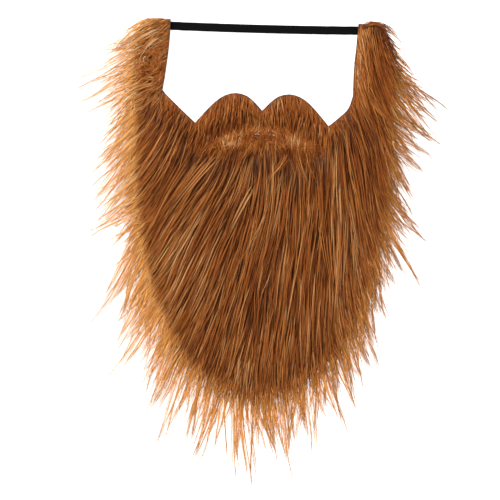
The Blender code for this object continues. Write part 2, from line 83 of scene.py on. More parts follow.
# Hairs: their thickness and taper, the strands that they lie in, how they stray, how far they reach
# past the sideburns' tips and the edges beside the face, and how their roots are scattered.
HAIR_RADIUS = 0.16 * MM
HAIR_TIP_RADIUS = 0.04 * MM
HAIR_SIDES = 3
PILE_TAPER = 2.2
ROOT_SINK = 0.8 * MM
STRAND_HAIRS = 3
STRAND_WIDTH = 0.6 * MM
# Painted highlights: the share of strands painted paler, and by how much.
PAINTED_HIGHLIGHT_SHARE = 0.10
PAINTED_HIGHLIGHT_TONE = 0.20
HAIR_WANDER = 0.5 * MM
HAIR_WAVE = 0.22 * MM
TIP_OVERHANG = 4.5 * MM
FACE_OVERHANG = 0.4 * MM
SHORTEST_LOCK = 9 * MM
ROOT_TRIALS = 40000
ROOT_PACKING = 0.82

# Fringe: its longest reach, its locks and wisps, over how much of the hem's surroundings its paler
# colours, painted light for the light through the thin hair, come in and how far inside the hem they
# start, and how many short locks and loose hairs.
FRINGE_LENGTH = 76 * MM
FRINGE_ROOT_WIDTH = 12 * MM
FRINGE_THICKNESS = 0.85
FRINGE_TAPER = 3.6
WISP_WIDTH = 1.7 * MM
FRINGE_FADE = 9 * MM
CHIN_FADE = 18 * MM
FRINGE_LEAD = 4 * MM
SIDE_LEAD = 3 * MM
SHORT_LOCKS = 2200
LOOSE_HAIRS = 420

# Locks at the edges beside the face and at the mouth slit, and in the matted curl in the middle of the
# left sideburn, whose place and radius are in millimetres.
EDGE_LOCKS = 860
SLIT_LOCKS = 220
CURL_LOCKS = 30
CURL_PLACE = (-77.8, 89.1)
CURL_RADIUS = 9.5

# Base cloth: the edges beside the face start at a share of the sideburns' height and reach a share of
# the half width out, and the cloth rises over the elastic's ends from a little below it.
FACE_EDGE_LEVEL = 0.35
FACE_EDGE_REACH = 0.82
BAND_CLEARANCE = 0.3 * MM
LIFT_START = 18 * MM
LIFT_RUN = 16 * MM
CLOTH_WALL = 1.1 * MM
CLOTH_GRID = 3.2 * MM
KNIT_WALE = 1.4 * MM
KNIT_COURSE = 1.1 * MM

# Elastic
ELASTIC_WIDTH = 5.7 * MM
ELASTIC_STEPS = 96
ELASTIC_RIBS = 7
LANES_PER_RIB = 4
ELASTIC_RIB_RISE = 0.13 * MM
ELASTIC_WAVE_RISE = 0.018 * MM
ELASTIC_WAVE_LENGTH = 7.0 * MM

SEED = 23

# Combing: lie at seven places across each level. Level is a share of the sideburns' height above the
# origin, or of the hem's depth below it, and across is a share of half the width there.
ACROSS = (-1.0, -0.78, -0.45, 0.0, 0.45, 0.72, 1.0)
COMBING = rows_of(
    "level lies",
    (1.00, (-74, -60, -40, 0, 4, 8, 16)),
    (0.80, (-62, -46, -20, 0, 4, 10, 20)),
    (0.60, (-56, -44, -10, 0, 6, 12, 26)),
    (0.48, (-50, -34, -8, 0, 5, 14, 28)),
    (0.30, (-44, -30, -26, -4, 3, 10, 24)),
    (0.10, (-40, -30, -34, -10, 1, 7, 20)),
    (-0.10, (-38, -30, -30, -12, -1, 6, 20)),
    (-0.30, (-36, -27, -24, -11, -2, 4, 18)),
    (-0.60, (-32, -25, -18, -9, -3, 3, 14)),
    (-0.85, (-28, -22, -14, -7, 0, 6, 14)),
    (-1.00, (-26, -17, -9, -2, 4, 10, 16)),
)

# Spots that the hairs just below radiate from, in millimetres: where the left sideburn is pinched to
# the cheek, and the top of the tuft under the mouth slit.
WHORLS = rows_of(
    "x y radius pull",
    (-69.0, 72.0, 14, 0.95),
    (3.0, 46.0, 13, 0.75),
)

# Matted spots, in millimetres: how far their locks are turned and curled at random, and how short
# they are.
MATTED = rows_of(
    "x y radius turn curl length",
    (-75, 90, 15, 60, 170, 0.42),
    (20, 31, 7, 30, 60, 0.5),
)

# Paler and darker spots, in millimetres: painted light over the mouth slit, where the table shows
# through the thin hair, painted shade in the hollows below it, and the paler and darker parts of the
# sideburns.
TONES = rows_of(
    "x y wide high tone",
    (-21.0, 36.0, 6.5, 6.0, 0.32),
    (-3.0, 44.5, 7.0, 2.6, 0.20),
    (21.0, 37.0, 8.0, 4.5, 0.32),
    (0.0, 42.0, 34.0, 6.0, -0.06),
    (-16.5, 29.0, 7.0, 3.0, -0.28),
    (17.5, 29.0, 8.0, 3.0, -0.26),
    (-72.0, 66.0, 12.0, 8.0, 0.20),
    (-77.0, 100.0, 14.0, 24.0, 0.14),
    (81.0, 86.0, 10.0, 32.0, -0.24),
    (64.5, 92.0, 3.5, 22.0, 0.14),
)

# Locks that stand out on top of the pile, in millimetres and degrees: root, lie, how far the lock
# turns by its tip, its size, number of hairs and how much paler it is.
STANDING_LOCKS = rows_of(
    "x y lie sweep length width hairs tone",
    (-26, 31, -44, 14, 66, 7.0, 42, 0.16),
    (-2, 12, -27, 2, 54, 3.6, 26, 0.26),
    (-30, 8, -34, 6, 50, 4.0, 20, 0.12),
    (70, 71, 36, 14, 34, 6.0, 18, 0.28),
    (66, 82, 28, 16, 34, 4.0, 12, 0.22),
    (-70, 78, -86, -8, 17, 2.4, 7, 0.24),
    (-70, 74, -80, 10, 22, 3.0, 8, 0.18),
    (-66.5, 117.6, -99, 60, 34, 1.6, 20, 0.12),
    (-67.5, 117.0, -94, 74, 30, 2.4, 22, 0.20),
    (-74.0, 117.0, -92, 70, 26, 2.4, 18, 0.16),
    (66.0, 114.0, 158, -150, 21, 2.4, 24, -0.08),
    (67.5, 116.0, 138, -132, 20, 2.4, 24, -0.04),
    (72.0, 116.8, 122, -112, 18, 2.6, 22, -0.12),
    (76.5, 117.2, 104, -88, 17, 2.6, 22, -0.18),
    (81.0, 116.0, 72, -48, 22, 2.6, 20, -0.20),
    (-67, 116, -88, 62, 44, 3.0, 22, 0.26),
    (-67, 113, -76, 40, 40, 4.0, 22, 0.20),
    (-68, 109, -62, 44, 32, 4.0, 18, 0.16),
    (-7, 42, -70, 70, 12, 2.0, 9, 0.40),
    (4, 43, 60, -60, 12, 2.0, 8, 0.34),
    (-12, 40, -74, 60, 11, 2.0, 8, 0.30),
)

# How much paler the fringe is at places across the beard, in millimetres: the light comes through it
# on the left.
FRINGE_TONES = ((-85, 0.22), (-45, 0.10), (0, 0.0), (45, -0.04), (80, -0.26))

# Stretches of the fringe as shares of the hem: how many hairs a wisp has, how many wisps a long and a
# short lock have, how far up the cloth they root in millimetres, and their layers in the pile.
STRETCHES = rows_of(
    "name low high hairs wisps overlap layers",
    ("left_cheek", 0.0, 0.25, 9, (5, 3), 16, (0.3, 1.0)),
    ("left_chin", 0.25, 0.49, 12, (6, 4), 13, (0.1, 0.7)),
    ("right_chin", 0.49, 0.73, 12, (6, 4), 12, (0.1, 0.6)),
    ("right_cheek", 0.73, 1.0, 10, (6, 4), 8, (0.1, 0.6)),
)

# Locks of the fringe, from the left sideburn's tip round the chin to the right one's: along is a
# share of the outer edge's length, reach a share of the fringe's length past the hem, and sweep how
# much further the lock turns towards +X by its tip.
FRINGE = rows_of(
    "along lie reach sweep",
    (0.020, -55, 0.42, -10),
    (0.042, -50, 0.86, -22),
    (0.064, -54, 0.66, -10),
    (0.084, -50, 0.58, -4),
    (0.104, -44, 0.52, 0),
    (0.122, -42, 0.58, -4),
    (0.138, -44, 0.66, 4),
    (0.157, -42, 0.66, 6),
    (0.177, -46, 0.60, 10),
    (0.198, -44, 0.66, 4),
    (0.220, -58, 0.56, -4),
    (0.240, -50, 0.36, 8),
    (0.262, -22, 0.92, -12),
    (0.288, -26, 0.62, 0),
    (0.314, -26, 0.72, -6),
    (0.340, -26, 0.84, -10),
    (0.366, -24, 0.66, 0),
    (0.390, -24, 0.78, -2),
    (0.414, -22, 0.88, -2),
    (0.436, -13, 0.80, -4),
    (0.456, -10, 0.90, -8),
    (0.474, -2, 0.94, 6),
    (0.492, -1, 1.00, 12),
    (0.510, 0, 0.70, 6),
    (0.528, 2, 0.92, 6),
    (0.548, 4, 0.70, 8),
    (0.568, 6, 0.86, 0),
    (0.590, 10, 0.72, 8),
    (0.612, 16, 0.66, 8),
    (0.636, 14, 0.62, 8),
    (0.662, 8, 0.70, 14),
    (0.690, 6, 0.62, 8),
    (0.720, 8, 0.56, 6),
    (0.748, 16, 0.52, 8),
    (0.776, 26, 0.88, 10),
    (0.800, 34, 0.64, 22),
    (0.824, 26, 0.46, 6),
    (0.846, 28, 0.50, 2),
    (0.862, 42, 0.46, -6),
    (0.880, 48, 0.50, -2),
    (0.898, 50, 0.58, 0),
    (0.918, 46, 0.66, 4),
    (0.938, 42, 0.70, 12),
    (0.958, 38, 0.84, 20),
    (0.980, 32, 0.42, 10),
)

# Beds of pile, whose hairs lie in small locks. Length and spread are a lock's own, in millimetres,
# jitter is in degrees, points are of a hair's middle line, and mottle is how much the strands' shades
# differ.
BEDS = rows_of(
    "name locks hairs length spread jitter points mottle",
    ("beard", 1500, 9, 60, 2.5, 3.4, 5, 0.14),
    ("moustache", 330, 9, 17, 1.6, 5.0, 4, 0.07),
    ("left_sideburn", 220, 9, 26, 1.8, 7.0, 5, 0.08),
    ("right_sideburn", 210, 9, 38, 1.8, 4.0, 5, 0.10),
)

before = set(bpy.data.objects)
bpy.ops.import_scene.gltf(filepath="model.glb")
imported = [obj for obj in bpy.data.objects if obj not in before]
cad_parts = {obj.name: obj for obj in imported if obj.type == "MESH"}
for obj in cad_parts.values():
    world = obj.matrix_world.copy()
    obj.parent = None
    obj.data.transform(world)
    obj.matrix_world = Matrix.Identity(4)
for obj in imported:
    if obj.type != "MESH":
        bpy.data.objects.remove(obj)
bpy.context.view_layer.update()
rng = np.random.default_rng(SEED)


# Small helpers


def linear_colour(hex_colour):
    """A linear RGBA from an sRGB hex colour."""
    channels = [int(hex_colour[i : i + 2], 16) / 255 for i in (1, 3, 5)]
    linear = [c / 12.92 if c <= 0.04045 else ((c + 0.055) / 1.055) ** 2.4 for c in channels]
    return (*linear, 1.0)


def set_inputs(tree, node, inputs):
    """Sets a node's inputs to values, or links them from sockets."""
    for name, value in inputs.items():
        if isinstance(value, bpy.types.NodeSocket):
            tree.links.new(value, node.inputs[name])
        else:
            node.inputs[name].default_value = value


def add_node(tree, kind, settings=None, inputs=None, stops=()):
    """Adds a node with its settings and inputs, and its ramp's stops of a place and a hex colour."""
    node = tree.nodes.new(kind)
    for name, value in (settings or {}).items():
        setattr(node, name, value)
    set_inputs(tree, node, inputs or {})
    if stops:
        elements = node.color_ramp.elements
        while len(elements) < len(stops):
            elements.new(0.5)
        for element, (place, colour) in zip(elements, stops):
            element.position = place
            element.color = linear_colour(colour)
    return node


def new_material(name):
    """A material with nothing in its tree but its Principled BSDF, then the tree and that shader."""
    made = bpy.data.materials.new(name)
    made.use_nodes = True
    return made, made.node_tree, made.node_tree.nodes["Principled BSDF"]


def add_object(name, data):
    """An object with the data, linked to the scene."""
    made = bpy.data.objects.new(name, data)
    bpy.context.scene.collection.objects.link(made)
    return made


def object_from(shape, name, finish):
    """An object of a bmesh with its finish. The bmesh is freed."""
    mesh = bpy.data.meshes.new(name)
    shape.to_mesh(mesh)
    shape.free()
    mesh.materials.append(finish)
    return add_object(name, mesh)


def finish_piece(piece, slot, *nodes):
    """Puts a finished piece on the object's body and hides the nodes that it stands for. The slot is
    not used.
    """
    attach(piece, "root")
    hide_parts(*nodes)


# Cut of the cloth, read from the frame


def edge_loops(node):
    """The closed loops of the top edge of a flat CAD node, as arrays of points, the longest first."""
    copy = bmesh.new()
    copy.from_mesh(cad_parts[node].data)
    bmesh.ops.remove_doubles(copy, verts=copy.verts, dist=1e-6)
    copy.normal_update()
    tops = {face for face in copy.faces if face.normal.z > 0.7}
    rims = [e for e in copy.edges if sum(face in tops for face in e.link_faces) == 1]
    beside = {}
    for edge in rims:
        for near, far in (edge.verts, reversed(edge.verts)):
            beside.setdefault(near.index, []).append(far.index)
    copy.verts.ensure_lookup_table()
    loops, seen = [], set()
    for start in beside:
        if start in seen:
            continue
        loop, here = [], start
        while here is not None:
            seen.add(here)
            loop.append(copy.verts[here].co.xy.to_tuple())
            here = next((v for v in beside[here] if v not in seen), None)
        loops.append(np.array(loop))
    copy.free()
    return sorted(loops, key=lambda loop: -np.abs(np.roll(loop, -1, 0) - loop).sum())


cloth_loop, slit_loop = edge_loops("base_cloth")[:2]
HALF_WIDTH = np.abs(cloth_loop[:, 0]).max()
SIDEBURN_TOP = cloth_loop[:, 1].max()
CHIN_HEM = -cloth_loop[:, 1].min()
BAND_LOW, BAND_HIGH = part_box("elastic_band")
SLIT_TOP = slit_loop[:, 1].max()


def segments(loop):
    return np.stack([loop, np.roll(loop, -1, 0)], axis=1)


def is_face_edge(edges):
    """True for the edges beside the wearer's face: between the sideburns, above the notches."""
    across, level = edges.mean(axis=1).T
    above_notch = (level > FACE_EDGE_LEVEL * SIDEBURN_TOP) & (level < SIDEBURN_TOP - 0.5 * MM)
    return (np.abs(across) < FACE_EDGE_REACH * HALF_WIDTH) & above_notch


cloth_edges = segments(cloth_loop)
slit_edges = segments(slit_loop)
hem_edges = cloth_edges[~is_face_edge(cloth_edges)]
face_edges = np.concatenate([cloth_edges[is_face_edge(cloth_edges)], slit_edges])


def distance_to(points, edges):
    """How far each point is from the nearest of the edges."""
    nearest = np.full(len(points), np.inf)
    for start, end in edges:
        run = end - start
        share = np.clip((points - start) @ run / (run @ run), 0, 1)
        nearest = np.minimum(nearest, np.hypot(*(points - start - share[:, None] * run).T))
    return nearest


def is_inside(points, edges):
    """True for the points with an odd number of the edges to their right."""
    inside = np.zeros(len(points), bool)
    for (ax, ay), (bx, by) in edges:
        if ay != by:
            spans = (ay > points[:, 1]) != (by > points[:, 1])
            crossing = ax + (points[:, 1] - ay) / (by - ay) * (bx - ax)
            inside ^= spans & (points[:, 0] < crossing)
    return inside


def smooth_step(share):
    share = np.clip(share, 0, 1)
    return share * share * (3 - 2 * share)


def on_cloth(points):
    return is_inside(points, np.concatenate([cloth_edges, slit_edges]))


def cloth_lift(points):
    """How far the cloth rises off the table over the elastic at the sideburns' tips."""
    rise = BAND_HIGH.z + BAND_CLEARANCE
    return rise * smooth_step((points[:, 1] - BAND_LOW.y + LIFT_START) / LIFT_RUN)


def square_to(runs):
    """Unit vectors square to the runs, to their left."""
    aside = np.stack([-runs[..., 1], runs[..., 0]], axis=-1)
    return aside / np.linalg.norm(aside, axis=-1, keepdims=True)


def pile_height(points):
    """Height of the top of the pile's body over the cloth, and of the locks past its hem."""
    from_hem = distance_to(points, hem_edges)
    from_face = distance_to(points, face_edges)
    swell = smooth_step(from_hem / HEM_SHOULDER) * smooth_step(from_face / FACE_SHOULDER)
    edge = PILE_SEAT + cloth_lift(points) + PILE_EDGE
    within = edge + (PILE_DEPTH - PILE_EDGE) * swell
    past = FRINGE_LIFT + (edge - FRINGE_LIFT) * np.exp(-((from_hem / FRINGE_FALL) ** 1.3))
    return np.where(is_inside(points, cloth_edges), within, past)


def under_pile_height(points):
    """Height that the roots of the top hairs start from."""
    seat = PILE_SEAT + cloth_lift(points)
    over_cloth = seat + UNDER_PILE_SHARE * (pile_height(points) - seat)
    return np.where(is_inside(points, cloth_edges), over_cloth, TABLE_CLEARANCE)


# Combing


def half_width_at(heights):
    """Half the cloth's width at each height."""
    right = cloth_loop[(cloth_loop[:, 0] > 0) & ~is_face_edge(cloth_edges)]
    right = right[np.argsort(right[:, 1])]
    return np.interp(heights, right[:, 1], right[:, 0])


def lie_at(points):
    """The way the pile is combed at each point, in degrees."""
    x, y = points.T
    level = np.where(y > 0, y / SIDEBURN_TOP, y / CHIN_HEM)
    across = np.clip(x / np.maximum(half_width_at(y), HALF_WIDTH / 4), -1, 1)
    rows = np.array([row["lies"] for row in COMBING], float)[::-1]
    levels = np.array([row["level"] for row in COMBING])[::-1]
    row = np.clip(np.searchsorted(levels, level) - 1, 0, len(levels) - 2)
    share = np.clip((level - levels[row]) / (levels[row + 1] - levels[row]), 0, 1)
    places = np.array(ACROSS)
    column = np.clip(np.searchsorted(places, across) - 1, 0, len(places) - 2)
    side = (across - places[column]) / (places[column + 1] - places[column])
    low = rows[row, column] * (1 - side) + rows[row, column + 1] * side
    high = rows[row + 1, column] * (1 - side) + rows[row + 1, column + 1] * side
    lies = low * (1 - share) + high * share
    for spot in WHORLS:
        dx, dy = x / MM - spot["x"], y / MM - spot["y"]
        pull = spot["pull"] * np.exp(-(np.hypot(dx, dy) / spot["radius"]) ** 2) * (dy < 1)
        away = np.degrees(np.arctan2(dx, -dy))
        lies = lies + pull * (np.clip(away, -95, 95) - lies)
    return lies


def tone_at(points):
    """How much paler the hair is at each point than the pile on the whole, with painted light over the
    mouth slit and painted shade below it.
    """
    x, y = (points / MM).T
    tone = np.zeros(len(points))
    for spot in TONES:
        away = ((x - spot["x"]) / spot["wide"]) ** 2 + ((y - spot["y"]) / spot["high"]) ** 2
        tone += spot["tone"] * np.exp(-away)
    return tone


def matting_at(points):
    """The random turn and curl of the locks at each point, and their length's share."""
    x, y = (points / MM).T
    turn, curl, length = np.zeros(len(points)), np.zeros(len(points)), np.ones(len(points))
    for spot in MATTED:
        near = np.exp(-(np.hypot(x - spot["x"], y - spot["y"]) / spot["radius"]) ** 4)
        turn += near * spot["turn"]
        curl += near * spot["curl"]
        length *= 1 - near * (1 - spot["length"])
    return turn, curl, length


def ruffle_at(points):
    """Slow swings of the pile to either side, in degrees, with waves of 15 to 60 mm."""
    x, y = (points / MM).T
    calm = np.interp(y, [-60, 30], [0.5, 1.0])
    return calm * (
        2.6 * np.sin(x / 9.5 + 1.7 * np.sin(y / 21.0) + 0.6)
        + 2.2 * np.sin(x / 4.7 - y / 17.0 + 2.1)
        + 2.0 * np.sin(y / 12.0 + x / 26.0)
    )


def lie_vectors(lies):
    angles = np.radians(lies)
    return np.stack([np.sin(angles), -np.cos(angles)], axis=-1)


def scattered_roots(count, region):
    """Roots spread evenly and at random over the cloth where region(points) is true."""
    low, high = cloth_loop.min(axis=0), cloth_loop.max(axis=0)
    trial = low + (high - low) * rng.random((ROOT_TRIALS, 2))
    trial = trial[on_cloth(trial) & region(trial)]
    pitch = math.sqrt(len(trial) / ROOT_TRIALS * np.prod(high - low) / count) * ROOT_PACKING
    kept, cells = [], {}
    for point in trial:
        column, row = (point // pitch).astype(int)
        near = [
            other
            for i in (-1, 0, 1)
            for j in (-1, 0, 1)
            for other in cells.get((column + i, row + j), ())
        ]
        if all(np.hypot(*(point - other)) > pitch for other in near):
            cells.setdefault((column, row), []).append(point)
            kept.append(point)
        if len(kept) == count:
            break
    return np.array(kept)


# Hairs


def comb_locks(roots, lengths, jitter, points):
    """Middle lines of locks that start at the roots and follow the combing: lock, point, xy."""
    lines = np.empty((len(roots), points, 2))
    lines[:, 0] = roots
    turn, curl, length = matting_at(roots)
    own = rng.normal(0, 1, len(roots)) * (jitter + turn)
    bend = rng.normal(0, 1, len(roots)) * curl
    step = lengths * length / (points - 1)
    for k in range(1, points):
        here = lines[:, k - 1]
        lies = lie_at(here) + ruffle_at(here) + own + bend * (k / points - 0.3)
        lines[:, k] = here + lie_vectors(lies) * step[:, None]
    return lines


def sweep_locks(roots, lies, sweeps, lengths, points):
    """Middle lines of locks with a lie and a sweep of their own."""
    lines = np.empty((len(roots), points, 2))
    lines[:, 0] = roots
    for k in range(1, points):
        share = (k - 0.5) / (points - 1)
        turned = lie_vectors(lies + sweeps * share)
        lines[:, k] = lines[:, k - 1] + turned * (lengths / (points - 1))[:, None]
    return lines


def hairs_of_locks(
    lines,
    hairs,
    spread,
    layers,
    shades,
    gather=0.55,
    fray=1.0,
    trim=(0.6, 1.0),
    bare=0.0,
    mottle=0.08,
    sink=ROOT_SINK,
):
    """Hairs round each lock's middle line, wide at the root and gathered towards the tip.

    Returns each hair's points, and each point's share of the hair and shade. Bare is the share of the
    hair below its first point, whose shaded root is left out. Mottle is how much the strands' shades
    differ, and sink is how far the roots go into the pile below them.
    """
    locks, points = lines.shape[:2]
    share = np.linspace(0, 1, points)[None, :]
    aside = square_to(np.gradient(lines, axis=1))
    count = locks * hairs
    which = np.repeat(np.arange(locks), hairs)
    strand = np.arange(count) // STRAND_HAIRS
    strands = strand[-1] + 1

    def one_each(draw):
        """A random draw for each strand, and a much smaller one for each of its hairs."""
        return draw((strands, 1))[strand] + 0.2 * draw((count, 1))

    across = rng.uniform(-1, 1, (strands, 1))[strand]
    closing = 1 - gather * share**1.3
    wander = fray * HAIR_WANDER * one_each(lambda size: rng.normal(size=size)) * share**1.5
    turns = share * rng.uniform(0.6, 1.6, (strands, 1))[strand] + rng.random((strands, 1))[strand]
    wave = fray * HAIR_WAVE * np.sin(2 * math.pi * turns)
    beside = STRAND_WIDTH / 2 * rng.uniform(-1, 1, (count, 1)) * (1 - 0.5 * share)
    width = np.broadcast_to(spread, locks)[which][:, None]
    offset = width * across * closing + wander + wave + beside
    flat = lines[which] + aside[which] * offset[..., None]
    start = rng.uniform(0, 0.06, (count, 1))
    end = 0.75 * rng.uniform(*trim, (strands, 1))[strand] + 0.25 * rng.uniform(*trim, (count, 1))
    flat = resample(flat, start + (end - start) * share)
    flat, kept = cut_at_face(flat)
    flat, which, strand = flat[kept], which[kept], strand[kept]
    count = len(flat)
    places = flat.reshape(-1, 2)
    top = pile_height(places).reshape(count, points)
    under = under_pile_height(places).reshape(count, points)
    layer = layers[which][:, None] + rng.normal(0, 0.2, (strands, 1))[strand]
    layer = np.clip(layer + rng.normal(0, 0.05, (count, 1)), 0, 1.15)
    rise = smooth_step(share / 0.3) * (1 - 0.25 * share**3)
    height = under + (top - under) * layer * rise - sink * (1 - share) ** 6
    height = np.maximum(height, TABLE_CLEARANCE)
    # Painted highlights: a few strands are painted paler, as if catching the light.
    pale = PAINTED_HIGHLIGHT_TONE * (rng.random((strands, 1)) < PAINTED_HIGHLIGHT_SHARE)
    own = rng.normal(0, mottle, (strands, 1)) + pale
    shade = shades[which][:, None] + own[strand] + rng.normal(0, 0.07, (count, 1))
    # The tone spots add painted light over the mouth slit and painted shade below it.
    shade = np.clip(shade, 0, 0.86) + tone_at(places).reshape(count, points)
    return {
        "places": np.concatenate([flat, height[..., None]], axis=2),
        "along": np.broadcast_to(bare + (1 - bare) * share, (count, points)),
        "shade": np.clip(shade, 0, 1),
    }


def cut_at_face(flat):
    """Ends the hairs where they would cross the edges beside the face or rise past the tips.

    Returns the hairs and which of them to keep, as the others would be too short or start in the air.
    """
    steps = 21
    count, points = flat.shape[:2]
    finer = resample(flat, np.linspace(0, 1, steps)[None, :])
    places = finer.reshape(-1, 2)
    past = places[:, 1] > SIDEBURN_TOP + TIP_OVERHANG
    outside = ~is_inside(places, cloth_edges)
    strays = places[outside]
    to_face = distance_to(strays, face_edges)
    past[outside] |= (to_face < distance_to(strays, hem_edges)) & (to_face > FACE_OVERHANG)
    past = past.reshape(count, steps)
    first = np.where(past.any(axis=1), past.argmax(axis=1) - 1, steps - 1) / (steps - 1)
    kept = on_cloth(flat[:, 0]) & (first > 0.1)
    return resample(flat, np.maximum(first, 0)[:, None] * np.linspace(0, 1, points)[None, :]), kept


def resample(lines, shares):
    """Points of each polyline at the given shares of its run of points."""
    spans = lines.shape[1] - 1
    place = shares * spans
    low = np.minimum(place.astype(int), spans - 1)
    part = (place - low)[..., None]
    index = np.arange(len(lines))[:, None]
    return lines[index, low] * (1 - part) + lines[index, low + 1] * part


def hair_sweep_tree():
    """Geometry Nodes that turn polylines into closed tubes, which taper by a power of along."""
    tree = bpy.data.node_groups.new("Hair sweep", "GeometryNodeTree")
    sockets = {
        "Geometry": "Geometry",
        "Hair radius": "Float",
        "Tip radius": "Float",
        "Taper": "Float",
        "Sides": "Int",
        "Finish": "Material",
    }
    for name, kind in sockets.items():
        tree.interface.new_socket(name, in_out="INPUT", socket_type="NodeSocket" + kind)
    tree.interface.new_socket("Geometry", in_out="OUTPUT", socket_type="NodeSocketGeometry")
    given = add_node(tree, "NodeGroupInput").outputs
    lines = add_node(tree, "GeometryNodeMeshToCurve", inputs={"Mesh": given["Geometry"]})
    share = add_node(
        tree, "GeometryNodeInputNamedAttribute", {"data_type": "FLOAT"}, {"Name": "along"}
    )
    taper = add_node(
        tree,
        "ShaderNodeMath",
        {"operation": "POWER"},
        {0: share.outputs["Attribute"], 1: given["Taper"]},
    )
    radius = add_node(
        tree,
        "ShaderNodeMapRange",
        inputs={
            "Value": taper.outputs[0],
            "To Min": given["Hair radius"],
            "To Max": given["Tip radius"],
        },
    )
    profile = add_node(
        tree,
        "GeometryNodeCurvePrimitiveCircle",
        inputs={"Resolution": given["Sides"], "Radius": 1.0},
    )
    tubes = add_node(
        tree,
        "GeometryNodeCurveToMesh",
        inputs={
            "Curve": lines.outputs["Curve"],
            "Profile Curve": profile.outputs["Curve"],
            "Scale": radius.outputs["Result"],
            "Fill Caps": True,
        },
    )
    smooth = add_node(
        tree, "GeometryNodeSetShadeSmooth", inputs={"Geometry": tubes.outputs["Mesh"]}
    )
    real = add_node(
        tree, "GeometryNodeRealizeInstances", inputs={"Geometry": smooth.outputs["Geometry"]}
    )
    painted = add_node(
        tree,
        "GeometryNodeSetMaterial",
        inputs={"Geometry": real.outputs["Geometry"], "Material": given["Finish"]},
    )
    add_node(tree, "NodeGroupOutput", inputs={"Geometry": painted.outputs["Geometry"]})
    return tree


def run_tree(name, mesh, tree, settings):
    """Runs a tree on a mesh and returns an object with the result as a plain mesh."""
    source = add_object(name + "_lines", mesh)
    modifier = source.modifiers.new("Sweep", "NODES")
    modifier.node_group = tree
    for item in tree.interface.items_tree:
        if item.in_out == "INPUT" and item.name in settings:
            modifier[item.identifier] = settings[item.name]
    evaluated = source.evaluated_get(bpy.context.evaluated_depsgraph_get())
    made = bpy.data.meshes.new_from_object(evaluated)
    bpy.data.objects.remove(source)
    made.name = name
    made.materials.clear()
    made.materials.append(settings["Finish"])
    return add_object(name, made)


def fringe_share(points):
    """How far each point has the fringe's paler colours, painted light for the light through the thin
    hair: 0 on the body, 1 well past the hem.

    They come in more slowly at the chin, sooner on the left and later beside the sideburns.
    """
    past = distance_to(points, hem_edges)
    past = np.where(is_inside(points, cloth_edges), -past, past)
    x, y = points.T
    fade = np.interp(y, [-0.95 * CHIN_HEM, -0.6 * CHIN_HEM], [CHIN_FADE, FRINGE_FADE])
    lead = FRINGE_LEAD + np.interp(x, [-70 * MM, 0], [SIDE_LEAD, 0])
    lead -= np.interp(y, [55 * MM, 85 * MM], [0, SIDE_LEAD])
    return smooth_step((past + lead) / fade)


def hair_piece(name, groups, node, thickness=1.0, taper=PILE_TAPER, tip=1.0):
    """A finished piece of the hairs in the groups, which stands for a CAD node.

    Each group has its own number of points to a hair.
    """
    edges, first = [], 0
    for group in groups:
        count, points = group["along"].shape
        index = first + np.arange(count * points).reshape(count, points)
        edges.append(np.stack([index[:, :-1], index[:, 1:]], axis=-1).reshape(-1, 2))
        first += count * points
    edges = np.concatenate(edges)
    places = np.concatenate([group["places"].reshape(-1, 3) for group in groups])
    values = {
        key: np.concatenate([group[key].ravel() for group in groups]) for key in ("along", "shade")
    }
    values["fringe"] = fringe_share(places[:, :2])
    mesh = bpy.data.meshes.new(name + "_lines")
    mesh.vertices.add(len(places))
    mesh.vertices.foreach_set("co", places.astype(np.float32).ravel())
    mesh.edges.add(len(edges))
    mesh.edges.foreach_set("vertices", edges.astype(np.int32).ravel())
    for key, numbers in values.items():
        layer = mesh.attributes.new(key, "FLOAT", "POINT")
        layer.data.foreach_set("value", numbers.astype(np.float32))
    mesh.update()
    settings = {
        "Hair radius": HAIR_RADIUS * thickness,
        "Tip radius": HAIR_TIP_RADIUS * thickness * tip,
        "Taper": taper,
        "Sides": HAIR_SIDES,
        "Finish": pile,
    }
    finish_piece(run_tree(name, mesh, sweep, settings), "fur", node)


def lock_shades(roots, spread=0.07):
    """A shade for each lock: its own, on slow patches of darker and lighter pile."""
    x, y = (roots / MM).T
    patches = 0.07 * np.sin(x / 17.0 + 1.1) * np.sin(y / 23.0) + 0.05 * np.sin(x / 7.0 + y / 31.0)
    return 0.50 + patches + rng.normal(0, spread, len(roots))


def in_moustache(points):
    across, y = np.abs(points[:, 0]), points[:, 1]
    lip = np.interp(across, [0, 0.5 * HALF_WIDTH], [SLIT_TOP, SLIT_TOP - 12 * MM])
    return (across < 0.52 * HALF_WIDTH) & (y > lip - 1 * MM)


def in_left_sideburn(points):
    return (points[:, 0] < -0.55 * HALF_WIDTH) & (points[:, 1] > 0.56 * SIDEBURN_TOP)


def in_right_sideburn(points):
    return (points[:, 0] > 0.55 * HALF_WIDTH) & (points[:, 1] > 0.56 * SIDEBURN_TOP)


def in_beard(points):
    return ~(in_moustache(points) | in_left_sideburn(points) | in_right_sideburn(points))


def make_bed(bed, region):
    """One bed of pile, rooted where region(points) is true: in three pieces across for the beard."""
    name = bed["name"]
    roots = scattered_roots(bed["locks"], region)
    lengths = bed["length"] * MM * rng.uniform(0.7, 1.15, len(roots))
    if name != "moustache":
        lengths = keep_near_hem(roots, lengths)
    lines = comb_locks(roots, lengths, bed["jitter"], bed["points"])
    layers = rng.random(len(roots)) ** 0.8
    # Painted light and shade: locks higher in the pile are painted lighter and lower ones darker.
    shades = lock_shades(roots) + 0.1 * (layers - 0.5)
    parts = ("_left", "_middle", "_right") if name == "beard" else ("",)
    borders = np.quantile(roots[:, 0], np.linspace(0, 1, len(parts) + 1))[1:-1]
    part_of = np.searchsorted(borders, roots[:, 0])
    for index, part in enumerate(parts):
        mine = part_of == index
        hairs = hairs_of_locks(
            lines[mine],
            bed["hairs"],
            bed["spread"] * MM,
            layers[mine],
            shades[mine],
            mottle=bed["mottle"],
        )
        hair_piece(name + "_pile" + part, [hairs], name + "_fur")


